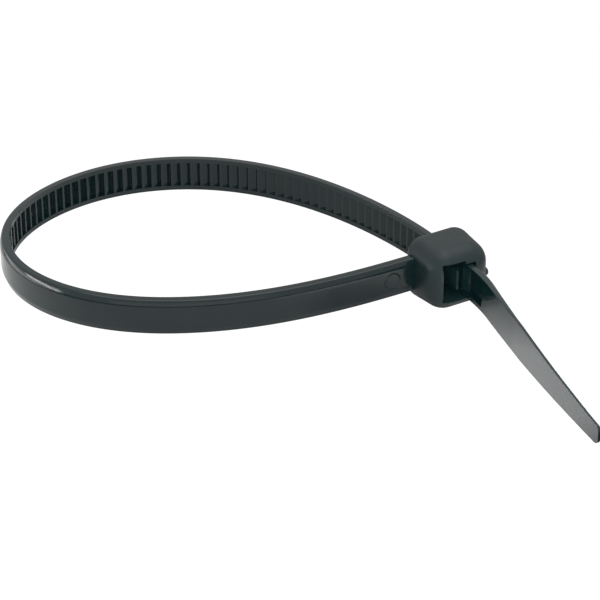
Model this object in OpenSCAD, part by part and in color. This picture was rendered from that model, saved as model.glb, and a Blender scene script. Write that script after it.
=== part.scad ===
// Nylon cable tie, closed into an oval loop with its tail pulled through the head.
// One injection moulding: strap, ratchet teeth, head, pawl and tail are a single solid.
// The loop lies flat: X runs to the head, Y to the back strand, Z across the strap.
// Everything is in millimetres. Z = 0 is the underside of the head.

/* [Strap] */
// Width of the strap across its rails
strap_w = 4.8; // [4.4:0.1:5.4]
// Thickness of the strap at its rails
strap_t = 1.3; // [1.15:0.05:1.5]
// How far the bevel on the smooth side comes in from each edge
bevel_w = 0.85; // [0.5:0.05:1.2]
// How much thinner the bevel makes the strap's edge
bevel_t = 0.3; // [0.15:0.05:0.4]
// Width of the plain rail on each side of the teeth
rail_w = 0.65; // [0.5:0.05:1.0]
// Small break on the two edges of the toothed side
edge_break = 0.08; // [0.05:0.01:0.2]

/* [Teeth] */
// Spacing of the ratchet teeth along the strap
tooth_pitch = 1.4; // [1.2:0.05:1.8]
// Depth of the gaps between teeth below the rails
gap_depth = 0.6; // [0.45:0.05:0.65]
// How far the tooth tips stay below the rails
tip_drop = 0.08; // [0.02:0.02:0.16]
// Flat land on the tip of a tooth, along the strap
tip_land = 0.3; // [0.15:0.05:0.45]
// Length over which the steep side of a tooth rises
tooth_step = 0.12; // [0.06:0.02:0.2]
// Plain length between the head and the first tooth
plain_root = 14; // [8:1:24]
// Teeth past the one that the pawl holds
teeth_past = 0; // [0:1:8]
// Plain length at gap depth between the last tooth and the ramp
plain_end = 2.8; // [0.6:0.1:4]
// Length of the ramp that ends the toothed channel
ramp_len = 1.2; // [1:0.1:3]

/* [Loop] */
// Length of the loop along X, between strap centrelines
loop_len = 57.7; // [50:0.5:66]
// Width of the loop along Y, between strap centrelines
loop_wid = 39.3; // [34:0.5:46]
// Y place of the slot in the head, from the loop's middle
slot_y = -5.28; // [-7:0.02:-3]
// X place of the foremost point of the loop
front_x = -6.9; // [-10:0.2:-3]
// X place of the rearmost point of the loop
back_x = -5.5; // [-9:0.2:-1]
// Y place of the leftmost point of the loop
left_y = -1.3; // [-4:0.2:2]
// Turn of the head about Z: its root side faces this far below -X
head_turn = 30.9; // [24:0.5:38]

/* [Head] */
// Distance from the slot's middle to the side that carries the strap
head_root = 5.4; // [5.2:0.1:6.2]
// Distance from the slot's middle to the far side
head_far = 3.6; // [3.3:0.1:4.2]
// Depth of the head in the direction the tail leaves
head_depth = 8.4; // [8.0:0.1:9.2]
// Height of the head along Z
head_h = 8.6; // [8.4:0.1:9.4]
// Rounding of corners and rims on the side that faces the loop
round_in = 2.2; // [1.6:0.1:2.4]
// Rounding of corners and rims on the side where the tail leaves
round_out = 2.9; // [2.2:0.1:3.1]
// How far the head stands in front of the strap's toothed side
head_lip = 2.1; // [1.8:0.1:2.4]
// Clearance between the strap and the slot's walls
slot_gap = 0.1; // [0.06:0.02:0.16]
// Clearance between the strap's edges and the slot's floor and roof
edge_gap = 0.12; // [0.08:0.02:0.3]
// Thickness of the wall between the pawl's window and the strap root
window_wall = 1.4; // [1.1:0.05:1.7]
// Thickness of the block that the pawl grows from
pawl_block = 2.7; // [2.2:0.1:3.0]
// How much higher than the slot the pawl's window reaches
window_rise = 0.4; // [0.2:0.05:0.6]

/* [Pawl] */
// Width of the pawl along Z
pawl_w = 2.8; // [2.2:0.1:3.0]
// Thickness of the pawl at its hinge
pawl_root_t = 0.75; // [0.5:0.05:0.9]
// Thickness of the pawl behind its teeth
pawl_t = 0.8; // [0.6:0.05:1.0]
// Clearance between the pawl's teeth and the strap's teeth
pawl_gap = 0.12; // [0.08:0.02:0.2]

/* [Tail] */
// Length of the tail from the head's face to its tip
tail_len = 38.2; // [32:0.1:60]
// How much the tail bends back towards the loop as it leaves the head
tail_turn = 14.7; // [0:0.1:20]
// Length over which that bend happens
tail_bend = 6.2; // [5:0.1:14]
// How much the rest of the tail curves out again
tail_rise = 5; // [0:0.1:12]
// Thickness of the tail half way out
tail_t = 0.74; // [0.7:0.02:1.0]
// Length past the toothed channel over which the strap thins to that
thin_len = 11.5; // [8:0.5:18]
// Length of the narrowing part of the tail
taper_len = 22; // [16:0.5:26]
// Width of the tail just before its rounded tip
tip_w = 2.5; // [1.8:0.1:3.2]
// Thickness of the tail at its tip
tip_t = 0.6; // [0.58:0.02:0.7]

/* [Mould marks] */
// Diameter of the ejector ring on the smooth side near the head
ring_d = 2.5; // [1.8:0.1:2.8]
// Width of the ring's groove
ring_w = 0.22; // [0.15:0.01:0.35]
// Depth of the ring's groove
ring_depth = 0.09; // [0.05:0.01:0.15]
// Distance of the ring's middle from the head
ring_at = 3.4; // [2.6:0.1:6]
// Diameter of the gate stub on the head's far side
gate_d = 1.4; // [0.8:0.1:1.8]
// How far the gate stub stands out
gate_h = 0.5; // [0.3:0.05:0.7]
// How far the gate stub sits below mid height
gate_drop = 0.9; // [0:0.1:1.2]

/* [Build] */
// Length of one facet of the strap's sweep
facet_len = 2; // [1.5:0.1:3]

/* [Hidden] */
tie_color = [0.13, 0.14, 0.14];
// Small overlap that makes joined pieces one solid
weld = 0.5;
// Length of strap that runs on inside the head's wall
root_weld = 0.9;
// Small excess that takes cutters clear of a face
over = 0.3;

// Unit vector at an angle in the loop's plane
function unit(a) = [cos(a), sin(a)];
// Point on a four-point curve
function curve(p, h) =
    pow(1 - h, 3) * p[0] + 3 * pow(1 - h, 2) * h * p[1]
    + 3 * (1 - h) * h * h * p[2] + h * h * h * p[3];
// Points along a span that leaves a at angle da and arrives at b at angle db.
// ka and kb are the pull of each end, as shares of the straight distance.
function span(a, da, ka, b, db, kb, n) =
    let (c = norm(b - a), p = [a, a + ka * c * unit(da), b - kb * c * unit(db), b])
    [for (i = [0:n - 1]) curve(p, i / n)];

// Points along an arc of length len from p at heading a that turns left by turn degrees
function arc(p, a, len, turn, n) =
    let (r = len / ((turn + 0.001) * PI / 180))
    [for (i = [1:n]) p + r * (unit(a - 90 + (turn + 0.001) * i / n) - unit(a - 90))];

// Directions: towards the strap root, and the way the tail leaves
root_dir = 180 + head_turn;
exit_dir = root_dir - 270;
ru = unit(root_dir);
eu = unit(exit_dir);

// The slot's middle line crosses the strap root's centreline level here
slot_mid = [loop_len / 2, slot_y];
// How far inside the head's rounded face the tail starts to bend
bend_in = 0.4;
// Head faces, measured from slot_mid along the exit direction
root_v = 0.8;
entry_v = root_v - strap_t / 2 - head_lip;
exit_v = entry_v + head_depth;

// The strap's centreline: root, front, left end, back, slot, tail
root_start = slot_mid + (head_root - root_weld) * ru + root_v * eu;
front_pt = [front_x, -loop_wid / 2];
left_pt = [-loop_len / 2, left_y];
back_pt = [back_x, loop_wid / 2];
slot_in = slot_mid + (entry_v - 0.4) * eu;
slot_out = slot_mid + (exit_v - bend_in) * eu;
bend_pts = arc(slot_out, exit_dir, tail_bend, -tail_turn, 8);
rise_pts = arc(bend_pts[7], exit_dir - tail_turn, tail_len + bend_in - tail_bend, tail_rise, 12);
path_n = 40;
path = concat(
    span(root_start, root_dir, 0.31, front_pt, 180, 0.353, path_n),
    span(front_pt, 180, 0.474, left_pt, 90, 0.336, path_n),
    span(left_pt, 90, 0.324, back_pt, 0, 0.436, path_n),
    span(back_pt, 0, 0.406, slot_in, exit_dir, 0.19, path_n),
    [slot_in, slot_out],
    bend_pts,
    rise_pts);

// Distance run along the centreline at each of its points
run = [for (i = 0, d = 0; i < len(path);
    d = d + (i + 1 < len(path) ? norm(path[i + 1] - path[i]) : 0), i = i + 1) d];
run_x = [for (i = [0:len(path) - 1]) [run[i], path[i][0]]];
run_y = [for (i = [0:len(path) - 1]) [run[i], path[i][1]]];
total = run[len(run) - 1];
// Run at which the strap enters the head and leaves it
run_in = run[4 * path_n] + 0.4;
run_out = run_in + head_depth;

function at(s) = [lookup(s, run_x), lookup(s, run_y)];
function heading(s) =
    let (d = at(s + 0.9) - at(s - 0.9)) atan2(d[1], d[0]);
// Place at run s, set off d towards the smooth side
function beside(s, d) = at(s) + d * unit(heading(s) + 90);

// The tail narrows and thins towards its tip, which is rounded
function taper(s) = 1 - min(1, (total - s) / taper_len);
tip_r = tip_w / 2;
function tip_round(s) =
    s < total - tip_r ? 1 : sqrt(max(0.09, 1 - pow((s - total + tip_r) / tip_r, 2)));
function half_w(s) =
    (strap_w + (tip_w - strap_w) * taper(s)) / 2 * tip_round(s);
function thick(s) =
    lookup(s, [[ramp_run, strap_t], [ramp_run + thin_len, tail_t], [total, tip_t]]);

// Outline of the strap's section at run s, as [offset, height] pairs
mid_z = head_h / 2;
function section(s) =
    let (w = half_w(s), t = thick(s), lo = -t / 2, hi = t / 2,
        b = bevel_w * w / (strap_w / 2), e = edge_break * w / (strap_w / 2))
    [[lo, -w + e], [lo + e, -w], [hi - bevel_t, -w], [hi, -w + b],
     [hi, w - b], [hi - bevel_t, w], [lo + e, w], [lo, w - e]];

rings = concat(
    [for (i = [0:round((total - tip_r) / facet_len) - 1])
        (total - tip_r) * i / round((total - tip_r) / facet_len)],
    [for (a = [0:18:90]) total - tip_r + tip_r * sin(a)]);

module strap_body() {
    n = len(rings);
    points = [for (s = rings) for (q = section(s))
        let (p = beside(s, q[0])) [p[0], p[1], mid_z + q[1]]];
    sides = [for (i = [0:n - 2]) for (j = [0:7])
        let (a = i * 8 + j, b = i * 8 + (j + 1) % 8) [a, a + 8, b + 8, b]];
    caps = [[for (j = [0:7]) j], [for (j = [7:-1:0]) (n - 1) * 8 + j]];
    polyhedron(points, concat(sides, caps), convexity = 6);
}

// Runs of the teeth, counted back from the tooth that the pawl holds
pawl_top = exit_v - 1.5;
hold_run = run_in + pawl_top - entry_v;
tooth_a = ceil((root_weld + plain_root - hold_run) / tooth_pitch);
ramp_run = hold_run + (teeth_past + 1) * tooth_pitch + plain_end;

// Height of the gap floor and of the tooth tips, as offsets
floor_d = -strap_t / 2 + gap_depth;
tip_d = -strap_t / 2 + tip_drop;

// The toothed channel that is cut into the strap's inner side
module tooth_channel() {
    teeth = [for (k = [tooth_a:teeth_past])
        let (s = hold_run + k * tooth_pitch)
        each [beside(s - tooth_step, floor_d), beside(s, tip_d), beside(s + tip_land, tip_d)]];
    first = hold_run + tooth_a * tooth_pitch - tooth_pitch;
    ramp = [for (s = [ramp_run - plain_end, ramp_run - plain_end / 2, ramp_run, ramp_run + 0.5])
        beside(s, floor_d)];
    back_a = ramp_run + ramp_len;
    back_n = round((back_a - first) / facet_len);
    back = [for (i = [0:back_n])
        beside(back_a + (first - back_a) * i / back_n, -strap_t / 2 - over)];
    translate([0, 0, mid_z - strap_w / 2 + rail_w])
        linear_extrude(height = strap_w - 2 * rail_w)
            polygon(concat([beside(first, -strap_t / 2)], teeth, ramp,
                [beside(back_a, -strap_t / 2 - 0.02)], back));
}

// Groove left by the ejector pin, square to the smooth side
module ejector_ring() {
    s = root_weld + ring_at;
    p = beside(s, strap_t / 2 - ring_depth);
    translate([p[0], p[1], mid_z])
        rotate([0, 90, heading(s) + 90])
            difference() {
                cylinder(h = over, d = ring_d, $fn = 48);
                translate([0, 0, -over])
                    cylinder(h = 3 * over, d = ring_d - 2 * ring_w, $fn = 48);
            }
}

// Puts a shape drawn in head axes (x to the root, y to the exit) in place
module in_head() {
    translate([slot_mid[0], slot_mid[1], 0])
        rotate([0, 0, root_dir])
            children();
}

// A post with fully rounded ends, one for each upright corner of the head
module head_post(x, y, r) {
    translate([x, y, 0])
        rotate_extrude($fn = 40) {
            polygon(concat(
                [[0, 0]],
                [for (a = [9:9:90]) [r * sin(a), r - r * cos(a)]],
                [for (a = [0:9:81]) [r * cos(a), head_h - r + r * sin(a)]],
                [[0, head_h]]));
        }
}

module head_block() {
    hull() {
        head_post(round_in - head_far, entry_v + round_in, round_in);
        head_post(head_root - round_in, entry_v + round_in, round_in);
        head_post(head_root - round_out, exit_v - round_out, round_out);
        head_post(round_out - head_far, exit_v - round_out, round_out);
    }
}

slot_h = strap_w + 2 * edge_gap;
slot_far = -strap_t / 2 - slot_gap;
slot_near = strap_t / 2 + slot_gap;
window_x = head_root - window_wall;
window_y = entry_v + pawl_block;

// Strap slot through the head, with a flared mouth on the loop side
module slot_cut() {
    translate([slot_far, entry_v - over, mid_z - slot_h / 2])
        cube([slot_near - slot_far, head_depth + 2 * over, slot_h]);
    translate([0, 0, mid_z - slot_h / 2])
        linear_extrude(height = slot_h)
            polygon([[slot_far - 0.35, entry_v - over], [slot_far, entry_v + 0.8],
                [slot_near, entry_v + 0.8], [slot_near + 0.5, entry_v - over]]);
}

// Window that the pawl moves in, open on the exit face
module window_cut() {
    translate([slot_near - 0.05, window_y, mid_z - slot_h / 2])
        cube([window_x - slot_near + 0.05, head_depth, slot_h + window_rise]);
}

// The pawl, hinged near the loop side, its teeth pointing at the strap
module pawl() {
    face = strap_t / 2 + 0.15;
    tips = [for (k = [-1:0])
        let (y = pawl_top + k * tooth_pitch)
        each [[face + 0.1, y - tooth_pitch + 0.1],
            [-floor_d + pawl_gap, y - tooth_step - pawl_gap - 0.25],
            [-floor_d + pawl_gap, y - tooth_step - pawl_gap]]];
    translate([0, 0, mid_z - pawl_w / 2])
        linear_extrude(height = pawl_w)
            polygon(concat(
                [[face + 0.75, window_y - weld]],
                [[face + 0.55, window_y + 0.35]],
                tips,
                [[face + 0.05, pawl_top + 0.05],
                 [face + 0.45, pawl_top + 0.5],
                 [face + pawl_t, pawl_top + 0.45],
                 [face + pawl_t + 0.15, pawl_top - 1.2],
                 [face + 0.55 + pawl_root_t, window_y + 0.35],
                 [face + 1.1 + pawl_root_t, window_y - weld]]));
}

module gate_stub() {
    translate([-head_far - gate_h, exit_v - round_out + 0.4, mid_z - gate_drop])
        rotate([0, 90, 0])
            cylinder(h = gate_h + weld, d1 = gate_d * 0.7, d2 = gate_d, $fn = 32);
}

module cable_tie() {
    color(tie_color)
        union() {
            difference() {
                strap_body();
                tooth_channel();
                ejector_ring();
            }
            in_head() {
                difference() {
                    head_block();
                    slot_cut();
                    window_cut();
                }
                pawl();
                gate_stub();
            }
        }
}

cable_tie();
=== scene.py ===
import math

import bpy
import bmesh
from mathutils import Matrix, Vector


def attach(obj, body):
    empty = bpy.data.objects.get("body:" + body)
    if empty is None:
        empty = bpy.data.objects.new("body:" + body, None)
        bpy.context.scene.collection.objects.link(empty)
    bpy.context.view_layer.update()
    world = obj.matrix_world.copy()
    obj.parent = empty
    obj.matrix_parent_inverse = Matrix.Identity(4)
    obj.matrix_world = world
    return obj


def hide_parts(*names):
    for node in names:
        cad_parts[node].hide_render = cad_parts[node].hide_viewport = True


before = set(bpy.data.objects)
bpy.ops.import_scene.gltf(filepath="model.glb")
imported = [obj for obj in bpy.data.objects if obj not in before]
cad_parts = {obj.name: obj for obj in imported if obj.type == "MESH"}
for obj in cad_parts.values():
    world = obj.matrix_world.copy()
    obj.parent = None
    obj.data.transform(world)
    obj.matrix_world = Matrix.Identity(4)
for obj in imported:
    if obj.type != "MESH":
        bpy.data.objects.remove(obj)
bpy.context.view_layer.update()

MM = 0.001

# Sizes of the tie, in millimetres and degrees, as the CAD has them
STRAP_W = 4.8
STRAP_T = 1.3
BEVEL_W = 0.85
BEVEL_T = 0.3
RAIL_W = 0.65
GAP_DEPTH = 0.6
TIP_DROP = 0.08
TOOTH_PITCH = 1.4
TOOTH_STEP = 0.12
TIP_LAND = 0.3
FIRST_TOOTH = 16.065
TEETH = 97
PLAIN_END = 2.8
RAMP_LEN = 1.2
STRAP_LEN = 190.165
THIN_LEN = 11.5
TAIL_T = 0.74
TAPER_LEN = 22.0
TIP_W = 2.5
TIP_T = 0.6
RING_AT = 4.3
RING_D = 2.5
RING_W = 0.22
RING_DEPTH = 0.09
MID_Z = 4.3
HEAD_H = 8.6
HEAD_ROOT = 5.4
HEAD_FAR = 3.6
ENTRY = -1.95
EXIT = 6.45
ROUND_IN = 2.2
ROUND_OUT = 2.9
SLOT_X = 0.75
SLOT_H = 5.04
MOUTH_DEPTH = 0.8
MOUTH_FAR = 0.35
MOUTH_NEAR = 0.5
WINDOW_X = 4.0
WINDOW_Y = 0.75
WINDOW_RISE = 0.4
PAWL_W = 2.8
PAWL_TOP = 4.95
GATE_D = 1.4
GATE_H = 0.5
GATE_ROOT = 0.6
GATE_SHIFT = 0.4
GATE_DROP = 0.9
HEAD_DIR = 210.9
SLOT_MID = (28.85, -5.28)

# Roundings that the mould leaves, on corners sharper than this angle
SHARP = 32
EDGE_ROUND = 0.035
BEVEL_ROUND = 0.2
UPPER_ROUND = 0.24
RIM_ROUND = 0.07
WINDOW_ROUND = 0.25
STUB_ROUND = 0.12
RING_TUBE = 0.13

# The rings that draw out the tip, by their turn, and how square its corners are
TIP_TURNS = (15, 30, 45, 58, 70)
TIP_SQUARE = 0.6

# How near a point lies to the place or the slice that it is picked by
NEAR = 0.01
IN_SLICE = 0.002

# How far a cutter stands out, and the edge of the strap that its bevels reach
OVER = 0.3
EDGE_BAND = 0.4

# Where the last tooth and the ramp behind it begin along the strap
LAST_TOOTH = FIRST_TOOTH + (TEETH - 1) * TOOTH_PITCH
RAMP_RUN = LAST_TOOTH + TOOTH_PITCH + PLAIN_END

# The toothed channel: half its width, and its offsets from the middle of the thickness
CHANNEL = STRAP_W / 2 - RAIL_W
FACE = -STRAP_T / 2
TIPS = FACE + TIP_DROP
GAP_FLOOR = FACE + GAP_DEPTH

# The strap's run: place, heading in degrees, handle before and after
RUN = [
    ((25.3995, -8.2774), 210.9, 1.0, 10.615),
    ((-6.9, -19.65), 180.0, 12.088, 13.56),
    ((-28.85, -1.3), 90.0, 9.61, 10.16),
    ((-5.5, 19.65), 0.0, 13.68, 16.359),
    ((27.6432, -3.2636), -59.1, 7.656, 2.8),
    ((31.9569, -10.4713), -59.1, 2.8, 2.07),
    ((34.4274, -16.1393), -73.8, 2.07, 10.8),
    ((44.8122, -46.8191), -68.8, 10.8, 1.0),
]


# Modelling with the edit tools

def deselect():
    if bpy.context.mode != "OBJECT":
        bpy.ops.object.mode_set(mode="OBJECT")
    bpy.ops.object.select_all(action="DESELECT")


def work_on(obj):
    deselect()
    obj.select_set(True)
    bpy.context.view_layer.objects.active = obj


def edit(obj):
    work_on(obj)
    bpy.ops.object.mode_set(mode="EDIT")
    bpy.ops.mesh.select_all(action="DESELECT")


def done():
    bpy.ops.object.mode_set(mode="OBJECT")


def settle():
    """Puts the object's place, turn and size into its mesh."""
    bpy.ops.object.transform_apply(location=True, rotation=True, scale=True)


def turn_outwards():
    """Points all faces of the mesh in edit mode outwards, and leaves edit mode."""
    bpy.ops.mesh.select_all(action="SELECT")
    bpy.ops.mesh.normals_make_consistent(inside=False)
    done()


def pick(obj, kind, test):
    """Selects the vertices, edges or faces in edit mode whose middle, in mm, passes the test."""
    bpy.ops.mesh.select_mode(type=kind)
    bpy.ops.mesh.select_all(action="DESELECT")
    mesh = bmesh.from_edit_mesh(obj.data)
    items = {"VERT": mesh.verts, "EDGE": mesh.edges, "FACE": mesh.faces}[kind]
    for item in items:
        if kind == "VERT":
            middle, facing = item.co, item.normal
        elif kind == "EDGE":
            middle = (item.verts[0].co + item.verts[1].co) / 2
            facing = item.verts[1].co - item.verts[0].co
        else:
            middle, facing = item.calc_center_median(), item.normal
        if test(middle / MM, facing.normalized()):
            item.select_set(True)
    mesh.select_flush_mode()
    bmesh.update_edit_mesh(obj.data)


def block(name, low, high):
    """A cube between two corners, in mm."""
    deselect()
    low, high = Vector(low), Vector(high)
    bpy.ops.mesh.primitive_cube_add(size=1, location=(low + high) / 2 * MM)
    obj = bpy.context.object
    obj.name = name
    obj.scale = (high - low) * MM
    settle()
    return obj


def slice_at(axis, places):
    """Cuts the whole mesh in edit mode across an axis at each place, in mm."""
    for place in places:
        bpy.ops.mesh.select_all(action="SELECT")
        point = [0, 0, 0]
        point[axis] = place * MM
        normal = [0, 0, 0]
        normal[axis] = 1
        bpy.ops.mesh.bisect(plane_co=point, plane_no=normal, threshold=1e-7)


def move(x=0, y=0, z=0):
    bpy.ops.transform.translate(value=(x * MM, y * MM, z * MM))


def draw_out(x=0, y=0, z=0):
    """Extrudes what is selected, in mm."""
    bpy.ops.mesh.extrude_region_move(
        TRANSFORM_OT_translate={"value": (x * MM, y * MM, z * MM)})


def apply_modifier(obj, kind, **settings):
    work_on(obj)
    modifier = obj.modifiers.new(kind.title(), kind)
    for key, value in settings.items():
        setattr(modifier, key, value)
    bpy.ops.object.modifier_apply(modifier=modifier.name)


def cut(obj, cutter):
    apply_modifier(obj, "BOOLEAN", object=cutter, operation="DIFFERENCE", solver="EXACT")
    bpy.data.objects.remove(cutter)


def repeat(obj, count, step):
    apply_modifier(
        obj, "ARRAY", count=count, use_relative_offset=False, use_constant_offset=True,
        constant_offset_displace=(step * MM, 0, 0), use_merge_vertices=True,
        merge_threshold=NEAR * MM)


def outline_solid(name, points, low, high):
    """A solid whose outline is drawn point by point by extruding one vertex, in mm."""
    deselect()
    first = points[0]
    bpy.ops.mesh.primitive_plane_add(
        size=MM, location=(first[0] * MM, first[1] * MM, low * MM))
    obj = bpy.context.object
    obj.name = name
    settle()
    bpy.ops.object.mode_set(mode="EDIT")
    bpy.ops.mesh.merge(type="CENTER")
    for a, b in zip(points, points[1:]):
        draw_out(b[0] - a[0], b[1] - a[1])
    bpy.ops.mesh.select_all(action="SELECT")
    bpy.ops.mesh.edge_face_add()
    draw_out(z=high - low)
    turn_outwards()
    return obj


def soften(obj, width, segments=2, clamp=True):
    """Takes the sharpness off the edges that a mould rounds."""
    apply_modifier(
        obj, "BEVEL", width=width * MM, segments=segments, limit_method="ANGLE",
        angle_limit=math.radians(SHARP), use_clamp_overlap=clamp)


def weld(obj, gap):
    """Merges points that the cuts left nearly on each other, so that no sliver stays."""
    edit(obj)
    bpy.ops.mesh.select_all(action="SELECT")
    bpy.ops.mesh.remove_doubles(threshold=gap * MM)
    done()


def smooth(obj, angle=30):
    work_on(obj)
    bpy.ops.object.shade_smooth_by_angle(angle=math.radians(angle))


# The strap, made straight and then bent along its run

def strap_blank():
    tip_r = TIP_W / 2
    body = STRAP_LEN - tip_r
    # The slices fall in the middle of each tooth's land and slope, clear of its edges
    step = TOOTH_PITCH / 2
    start = (FIRST_TOOTH + TIP_LAND / 2) % step
    count = round((body - start) / step)
    end = start + count * step
    top, half = STRAP_T / 2, STRAP_W / 2
    strap = block("strap", (start, FACE, -half), (start + step, top, half))
    edit(strap)
    pick(strap, "FACE", lambda p, n: abs(n.x) > 0.9)
    bpy.ops.mesh.delete(type="FACE")
    slice_at(2, [-half + BEVEL_W, half - BEVEL_W])
    pick(strap, "VERT", lambda p, n: p.y > 0 and abs(p.z) > half - NEAR)
    move(y=-BEVEL_T)
    pick(strap, "EDGE", lambda p, n: abs(n.x) > 0.9 and p.y > top - NEAR
         and abs(abs(p.z) - half + BEVEL_W) < NEAR)
    bpy.ops.mesh.bevel(offset=BEVEL_ROUND * MM, segments=4, affect="EDGES")
    # The upper edge is rounded more than the lower one
    pick(strap, "EDGE", lambda p, n: abs(n.x) > 0.9 and p.z > half - NEAR
         and abs(p.y - top + BEVEL_T) < NEAR)
    bpy.ops.mesh.bevel(offset=UPPER_ROUND * MM, segments=5, affect="EDGES")
    done()
    repeat(strap, count, step)
    edit(strap)
    pick(strap, "VERT", lambda p, n: p.x < start + NEAR)
    move(x=-start)
    bpy.ops.mesh.edge_face_add()
    # The round tip is drawn out ring by ring, a little squarer than a half circle
    pick(strap, "VERT", lambda p, n: p.x > end - NEAR)
    move(x=body - end)
    out, wide = 0.0, 1.0
    longest = math.sin(math.radians(TIP_TURNS[-1]))
    for turn in TIP_TURNS:
        next_out = (math.sin(math.radians(turn)) / longest) ** TIP_SQUARE
        next_wide = math.cos(math.radians(turn)) ** TIP_SQUARE
        draw_out(tip_r * (next_out - out))
        bpy.ops.transform.resize(value=(1, 1, next_wide / wide))
        out, wide = next_out, next_wide
    bpy.ops.mesh.edge_face_add()
    # Past the toothed channel the strap thins, then narrows towards the tip, slice by slice
    mesh = bmesh.from_edit_mesh(strap.data)
    slices = sorted({round(v.co.x / MM, 3) for v in mesh.verts if v.co.x / MM > RAMP_RUN})
    for x in slices:
        narrow = 1 - min(1, (STRAP_LEN - x) / TAPER_LEN)
        width = 1 + (TIP_W / STRAP_W - 1) * narrow
        past = x - RAMP_RUN - THIN_LEN
        thick = TAIL_T + (STRAP_T - TAIL_T) * max(0, -past / THIN_LEN)
        thick += (TIP_T - TAIL_T) * max(0, past / (STRAP_LEN - RAMP_RUN - THIN_LEN))
        pick(strap, "VERT", lambda p, n: abs(p.x - x) < IN_SLICE)
        bpy.ops.transform.resize(
            value=(1, thick / STRAP_T, width), center_override=(x * MM, 0, 0))
        # The bevels keep their depth where the strap is thinner
        pick(strap, "VERT", lambda p, n: abs(p.x - x) < IN_SLICE and p.y > 0
             and abs(p.z) > half * width - EDGE_BAND)
        move(y=-BEVEL_T * (1 - thick / STRAP_T))
    turn_outwards()
    return strap


def tooth_comb():
    """The cutter that leaves the ratchet teeth: one gap, shaped once and repeated."""
    deepest = FIRST_TOOTH + TOOTH_PITCH - TOOTH_STEP
    comb = block("comb", (FIRST_TOOTH, FACE - OVER, -CHANNEL),
                 (FIRST_TOOTH + TOOTH_PITCH, TIPS, CHANNEL))
    edit(comb)
    slice_at(0, [FIRST_TOOTH + TIP_LAND, deepest])
    pick(comb, "VERT", lambda p, n: p.y > TIPS - NEAR and abs(p.x - deepest) < NEAR)
    move(y=GAP_FLOOR - TIPS)
    pick(comb, "FACE", lambda p, n: abs(n.x) > 0.99)
    bpy.ops.mesh.delete(type="FACE")
    done()
    repeat(comb, TEETH - 1, TOOTH_PITCH)
    edit(comb)
    for end in (FIRST_TOOTH, LAST_TOOTH):
        pick(comb, "VERT", lambda p, n: abs(p.x - end) < NEAR)
        bpy.ops.mesh.edge_face_add()
    turn_outwards()
    return comb


def channel_ends():
    """Cutters for the lead-in before the first tooth and the ramp after the last. Each
    reaches a little into the comb's place, so that no thin wall stays between them."""
    clear = FACE - OVER
    start, inside = FIRST_TOOTH - TOOTH_PITCH, FIRST_TOOTH + 0.1
    lead = outline_solid("lead_in", [
        (start, FACE), (FIRST_TOOTH - TOOTH_STEP, GAP_FLOOR), (FIRST_TOOTH, TIPS),
        (inside, TIPS), (inside, clear), (start, clear)],
        -CHANNEL, CHANNEL)
    inside, foot, crest = LAST_TOOTH - 0.05, RAMP_RUN + 0.5, RAMP_RUN + RAMP_LEN
    ramp = outline_solid("ramp", [
        (inside, TIPS), (LAST_TOOTH + TIP_LAND, TIPS), (LAST_TOOTH + TOOTH_PITCH, GAP_FLOOR),
        (foot, GAP_FLOOR), (crest, FACE - 0.02), (crest, clear), (inside, clear)],
        -CHANNEL, CHANNEL)
    return lead, ramp


def run_curve():
    """The line that the middle of the strap follows, in 96 steps a stretch."""
    data = bpy.data.curves.new("run", "CURVE")
    data.dimensions = "2D"
    data.resolution_u = 96
    spline = data.splines.new("BEZIER")
    spline.bezier_points.add(len(RUN) - 1)
    for point, (place, heading, before, after) in zip(spline.bezier_points, RUN):
        here = Vector((place[0], place[1], 0)) * MM
        a = math.radians(heading)
        way = Vector((math.cos(a), math.sin(a), 0)) * MM
        point.handle_left_type = point.handle_right_type = "FREE"
        point.co = here
        point.handle_left = here - way * before
        point.handle_right = here + way * after
    curve = bpy.data.objects.new("run", data)
    bpy.context.scene.collection.objects.link(curve)
    return curve


def make_strap():
    strap = strap_blank()
    cut(strap, tooth_comb())
    for end in channel_ends():
        cut(strap, end)
    weld(strap, 2 * NEAR)
    # The sharp edges are rounded, but for the cut ends and the start of the lead-in
    shallow = FIRST_TOOTH - TOOTH_PITCH
    edit(strap)
    bpy.ops.mesh.select_mode(type="EDGE")
    bpy.ops.mesh.edges_select_sharp(sharpness=math.radians(SHARP))
    mesh = bmesh.from_edit_mesh(strap.data)
    for edge in mesh.edges:
        ends = [v.co.x / MM for v in edge.verts]
        if min(ends) < NEAR or max(ends) > STRAP_LEN - TIP_W / 2 + NEAR \
                or min(abs(x - shallow) for x in ends) < 2 * NEAR:
            edge.select_set(False)
    mesh.select_flush_mode()
    bmesh.update_edit_mesh(strap.data)
    bpy.ops.mesh.bevel(offset=EDGE_ROUND * MM, segments=2, affect="EDGES")
    done()
    # Shallow groove of the ejector pin on the smooth side
    deselect()
    bpy.ops.mesh.primitive_torus_add(
        major_segments=56, minor_segments=12, major_radius=(RING_D - RING_W) / 2 * MM,
        minor_radius=RING_TUBE * MM, rotation=(math.radians(90), 0, 0),
        location=(RING_AT * MM, (STRAP_T / 2 + RING_TUBE - RING_DEPTH) * MM, 0))
    ring = bpy.context.object
    settle()
    cut(strap, ring)
    curve = run_curve()
    apply_modifier(strap, "CURVE", object=curve, deform_axis="POS_X")
    bpy.data.objects.remove(curve)
    edit(strap)
    bpy.ops.mesh.select_all(action="SELECT")
    move(z=MID_Z)
    done()
    smooth(strap, 14)
    return strap


# The head, drawn in its own axes: x towards the strap root, y the way the tail leaves

def seat_head_piece(obj):
    work_on(obj)
    obj.rotation_euler = (0, 0, math.radians(HEAD_DIR))
    obj.location = (SLOT_MID[0] * MM, SLOT_MID[1] * MM, 0)
    settle()


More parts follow.
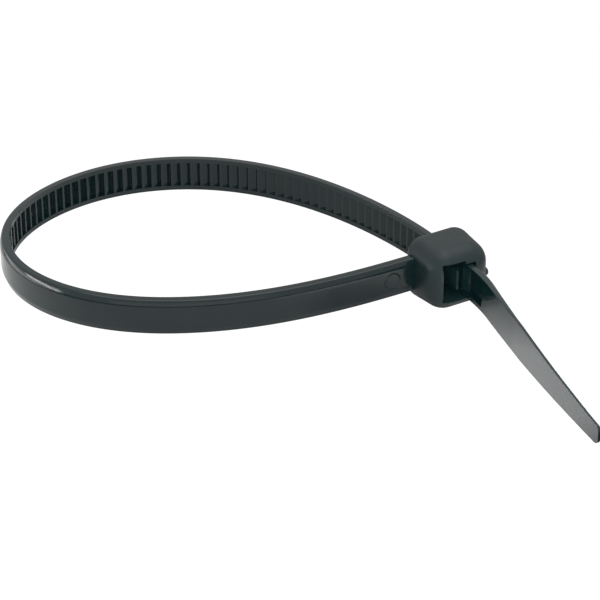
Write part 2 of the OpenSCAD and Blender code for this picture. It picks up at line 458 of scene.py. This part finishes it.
def make_head():
    """Eight balls at the corners, closed by a convex hull, then cut for the strap and pawl."""
    balls = []
    for y, radius in ((ENTRY + ROUND_IN, ROUND_IN), (EXIT - ROUND_OUT, ROUND_OUT)):
        for x in (radius - HEAD_FAR, HEAD_ROOT - radius):
            for z in (radius, HEAD_H - radius):
                deselect()
                bpy.ops.mesh.primitive_uv_sphere_add(
                    segments=48, ring_count=24, radius=radius * MM,
                    location=(x * MM, y * MM, z * MM))
                balls.append(bpy.context.object)
    head = balls[0]
    deselect()
    for ball in balls:
        ball.select_set(True)
    bpy.context.view_layer.objects.active = head
    bpy.ops.object.join()
    head.name = "head"
    settle()
    bpy.ops.object.mode_set(mode="EDIT")
    bpy.ops.mesh.select_all(action="SELECT")
    bpy.ops.mesh.convex_hull()
    done()
    low, high = MID_Z - SLOT_H / 2, MID_Z + SLOT_H / 2
    # The window starts a little inside the slot's wall, so that both open into each other
    window = block("window", (SLOT_X - 0.05, WINDOW_Y, low),
                   (WINDOW_X, EXIT + OVER, high + WINDOW_RISE))
    edit(window)
    pick(window, "EDGE", lambda p, n: abs(n.y) > 0.9 and p.x > SLOT_X)
    bpy.ops.mesh.bevel(offset=WINDOW_ROUND * MM, segments=4, affect="EDGES")
    done()
    cut(head, window)
    # The slot's mouth is flared on both sides, to guide the tail in
    slot = block("slot", (-SLOT_X, ENTRY - OVER, low), (SLOT_X, EXIT + OVER, high))
    edit(slot)
    slice_at(1, [ENTRY + MOUTH_DEPTH])
    pick(slot, "VERT", lambda p, n: p.y < ENTRY and p.x < 0)
    move(x=-MOUTH_FAR)
    pick(slot, "VERT", lambda p, n: p.y < ENTRY and p.x > 0)
    move(x=MOUTH_NEAR)
    done()
    cut(head, slot)
    weld(head, NEAR)
    soften(head, RIM_ROUND, clamp=False)
    seat_head_piece(head)
    smooth(head, 35)
    return head


def make_pawl():
    half = PAWL_W / 2
    top = PAWL_TOP
    pawl = outline_solid("pawl", [
        (1.55, 0.25), (1.35, 1.1), (0.9, top - 2.7), (0.17, top - 1.89), (0.17, top - 1.64),
        (0.9, top - 1.3), (0.17, top - 0.49), (0.17, top - 0.24), (0.85, top + 0.05),
        (1.25, top + 0.5), (1.6, top + 0.45), (1.75, top - 1.2), (2.1, 1.1), (2.65, 0.25)],
        MID_Z - half, MID_Z + half)
    soften(pawl, RIM_ROUND)
    seat_head_piece(pawl)
    smooth(pawl)
    return pawl


def make_gate_stub():
    """What is left of the gate where the nylon was fed into the mould."""
    deselect()
    depth = GATE_H + GATE_ROOT
    bpy.ops.mesh.primitive_cone_add(
        vertices=40, radius1=GATE_D / 2 * MM, radius2=GATE_D * 0.4 * MM, depth=depth * MM,
        location=((-HEAD_FAR - GATE_H + depth / 2) * MM, (EXIT - ROUND_OUT + GATE_SHIFT) * MM,
                  (MID_Z - GATE_DROP) * MM),
        rotation=(0, math.radians(-90), 0))
    stub = bpy.context.object
    stub.name = "gate_stub"
    settle()
    soften(stub, STUB_ROUND, segments=3)
    seat_head_piece(stub)
    smooth(stub)
    return stub


# Materials

def linear(hex_colour):
    """sRGB hex to the linear colour that a socket takes."""
    channels = [int(hex_colour[i:i + 2], 16) / 255 for i in (1, 3, 5)]
    return tuple(
        c / 12.92 if c <= 0.04045 else ((c + 0.055) / 1.055) ** 2.4 for c in channels) + (1.0,)


def add(tree, kind, settings=None, links=None, **attributes):
    """Adds a node, sets its attributes and sockets, and links its inputs."""
    new = tree.nodes.new(kind)
    for key, value in attributes.items():
        setattr(new, key, value)
    for key, value in (settings or {}).items():
        new.inputs[key].default_value = value
    for key, source in (links or {}).items():
        tree.links.new(source, new.inputs[key])
    return new


def start_nodes(owner):
    owner.use_nodes = True
    owner.node_tree.nodes.clear()
    return owner.node_tree


def black_nylon(name, low, high):
    """Nylon 66, black, injection moulded: it gives a near black with a cool tint, a pale sheen
    between the two roughness levels, faint flow clouds and a fine grain in the highlights."""
    material = bpy.data.materials.new(name)
    m = start_nodes(material)
    place = add(m, "ShaderNodeTexCoord").outputs["Object"]
    # Flow clouds of about 4 mm
    clouds = add(m, "ShaderNodeTexNoise", {"Scale": 260.0, "Detail": 3.0, "Roughness": 0.55},
                 {"Vector": place})
    # Mould grain of about 0.2 mm
    grain = add(m, "ShaderNodeTexNoise", {"Scale": 5200.0, "Detail": 2.0, "Roughness": 0.6},
                {"Vector": place})
    # Handling marks of about 1 mm that change the sheen
    rub = add(m, "ShaderNodeTexNoise", {"Scale": 900.0, "Detail": 4.0, "Roughness": 0.65},
              {"Vector": place})
    tone = add(m, "ShaderNodeValToRGB", links={"Fac": clouds.outputs["Fac"]})
    shades = zip(tone.color_ramp.elements, (0.3, 0.7), ("#0b1c1d", "#0e2122"))
    for element, position, shade in shades:
        element.position = position
        element.color = linear(shade)
    gloss = add(m, "ShaderNodeMapRange",
                {"From Min": 0.3, "From Max": 0.7, "To Min": low, "To Max": high},
                {"Value": rub.outputs["Fac"]})
    soft = add(m, "ShaderNodeBump", {"Strength": 0.25, "Distance": 0.04 * MM},
               {"Height": rub.outputs["Fac"]})
    fine = add(m, "ShaderNodeBump", {"Strength": 0.2, "Distance": 0.012 * MM},
               {"Height": grain.outputs["Fac"], "Normal": soft.outputs["Normal"]})
    # The sheen is a touch warmer than the body
    shader = add(m, "ShaderNodeBsdfPrincipled",
                 {"IOR": 1.53, "Metallic": 0.0, "Specular Tint": linear("#fff9fb")},
                 {"Base Color": tone.outputs["Color"], "Roughness": gloss.outputs["Result"],
                  "Normal": fine.outputs["Normal"]})
    add(m, "ShaderNodeOutputMaterial", links={"Surface": shader.outputs["BSDF"]})
    return material


def studio_floor():
    """Matt white paper: it shows as plain white and keeps a faint shadow. Its matt share has a
    painted pool of light, pale round the tie and grey further out, which draws the dark line
    along the bevel, and painted shadows by the head and inside the loop, as the gloss shows them."""
    material = bpy.data.materials.new("white_paper_sweep")
    m = start_nodes(material)
    ray = add(m, "ShaderNodeLightPath")
    place = add(m, "ShaderNodeTexCoord").outputs["Object"]

    def level(x, y, near, far, inner, outer):
        """Goes from the inner to the outer level between two distances from a place, in mm."""
        away = add(m, "ShaderNodeVectorMath", {1: (x * MM, y * MM, 0)}, {0: place},
                   operation="DISTANCE")
        return add(m, "ShaderNodeMapRange",
                   {"From Min": near * MM, "From Max": far * MM, "To Min": inner, "To Max": outer},
                   {"Value": away.outputs["Value"]}).outputs["Result"]

    # Painted pool of light: the matt share is pale round the tie and grey further out
    painted_pool = add(m, "ShaderNodeMix", {6: linear("#dadada"), 7: linear("#4a4a4a")},
                {0: level(6, -6, 45, 65, 0, 1)}, data_type="RGBA")
    colour = painted_pool.outputs[2]
    # Painted shadows: the matt share is darker by the head and inside the loop
    for painted_shadow in (level(23, -18, 3, 10.5, 0.55, 1), level(4, 9, 6, 18, 0.85, 1)):
        colour = add(m, "ShaderNodeVectorMath", links={0: colour, "Scale": painted_shadow},
                     operation="SCALE").outputs["Vector"]
    matt = add(m, "ShaderNodeBsdfDiffuse", links={"Color": colour})
    white = add(m, "ShaderNodeEmission", {"Color": linear("#ffffff"), "Strength": 1.1})
    seen = add(m, "ShaderNodeMath", {1: 0.92}, {0: ray.outputs["Is Camera Ray"]},
               operation="MULTIPLY")
    mix = add(m, "ShaderNodeMixShader",
              links={0: seen.outputs[0], 1: matt.outputs[0], 2: white.outputs[0]})
    add(m, "ShaderNodeOutputMaterial", links={"Surface": mix.outputs[0]})
    return material


# The strap's mould is polished, so it has clear streaks of light. The head's is spark
# eroded, so its light is dull and even.
polished = black_nylon("nylon_66_black_polished_mould", 0.11, 0.17)
eroded = black_nylon("nylon_66_black_eroded_mould", 0.42, 0.5)
strap = make_strap()
head = make_head()
pawl = make_pawl()
gate_stub = make_gate_stub()
for piece in (strap, head, pawl, gate_stub):
    piece.data.materials.clear()
    piece.data.materials.append(polished if piece is strap else eroded)
    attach(piece, "root")
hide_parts("cable_tie")

# Floor, a hair below the tie
deselect()
bpy.ops.mesh.primitive_plane_add(size=4, location=(0, 0, -0.2 * MM))
floor = bpy.context.object
floor.name = "floor"
floor.data.materials.append(studio_floor())

# World: white to the camera, a pale studio in reflections, a plain level as light
world = bpy.data.worlds.new("studio")
bpy.context.scene.world = world
w = start_nodes(world)
path = add(w, "ShaderNodeLightPath")
shine = add(w, "ShaderNodeMapRange", {"To Min": 0.5, "To Max": 0.67},
            {"Value": path.outputs["Is Glossy Ray"]})
strength = add(w, "ShaderNodeMath", operation="MAXIMUM",
               links={0: path.outputs["Is Camera Ray"], 1: shine.outputs["Result"]})
backdrop = add(w, "ShaderNodeBackground", {"Color": linear("#ffffff")},
               {"Strength": strength.outputs[0]})
add(w, "ShaderNodeOutputWorld", links={"Surface": backdrop.outputs[0]})


# Lights: place, aim and size in mm, power in watts

def hang(name, light, place, aim, power):
    light.energy = power
    obj = bpy.data.objects.new(name, light)
    bpy.context.scene.collection.objects.link(obj)
    obj.location = Vector(place) * MM
    obj.rotation_euler = (Vector(aim) - Vector(place)).to_track_quat("-Z", "Y").to_euler()
    return obj


def softbox(name, place, aim, size, power):
    light = bpy.data.lights.new(name, "AREA")
    light.shape = "RECTANGLE"
    light.size, light.size_y = size[0] * MM, size[1] * MM
    return hang(name, light, place, aim, power)


def spot(name, place, aim, angle, power):
    """A soft spot that only adds matt light: it shows in no reflection."""
    light = bpy.data.lights.new(name, "SPOT")
    light.spot_size = math.radians(angle)
    light.spot_blend = 1.0
    light.shadow_soft_size = 5 * MM
    hang(name, light, place, aim, power).visible_glossy = False


# The strip and the low card draw the pale streaks on the left of the loop
softbox("left_strip", (-440, -93, 20), (0, 0, 4), (250, 40), 0.25)
softbox("left_card", (-105, 8, 1), (-105, 8, 100), (110, 70), 0.055)
softbox("top_box", (40, 60, 420), (5, -5, 0), (420, 420), 0.68)
softbox("front_strip", (0, -420, 62), (0, 0, 4), (500, 80), 0.04)
# One spot for the pawl in its window, one for the tail, one for the floor at the left
spot("window_fill", (15, -275, 158), (31, -8, 4), 1.4, 5.5)
spot("tail_glow", (90, -120, 300), (38.8, -32, 0), 8.8, 5.6)
spot("left_glow", (-260, -60, 260), (-42, -4, 0), 10.0, 3.0)
fill = softbox("front_fill", (10, -400, 235), (5, -5, 0), (200, 200), 1.2)
fill.visible_glossy = False

# Camera at the photograph's place
DISTANCE = 305
ELEVATION = math.radians(30.42)
AIM = Vector((10.06, -11.6, 1.9))
BACK = Vector((0, -math.cos(ELEVATION), math.sin(ELEVATION)))
camera_data = bpy.data.cameras.new("camera")
camera_data.sensor_width = 36
camera_data.lens = 141.7
camera_data.clip_start = 0.01
camera_data.clip_end = 20
camera = bpy.data.objects.new("camera", camera_data)
bpy.context.scene.collection.objects.link(camera)
camera.location = (AIM + BACK * DISTANCE) * MM
camera.rotation_euler = (math.radians(90) - ELEVATION, 0, 0)
bpy.context.scene.camera = camera

bpy.context.scene.view_settings.view_transform = "Standard"
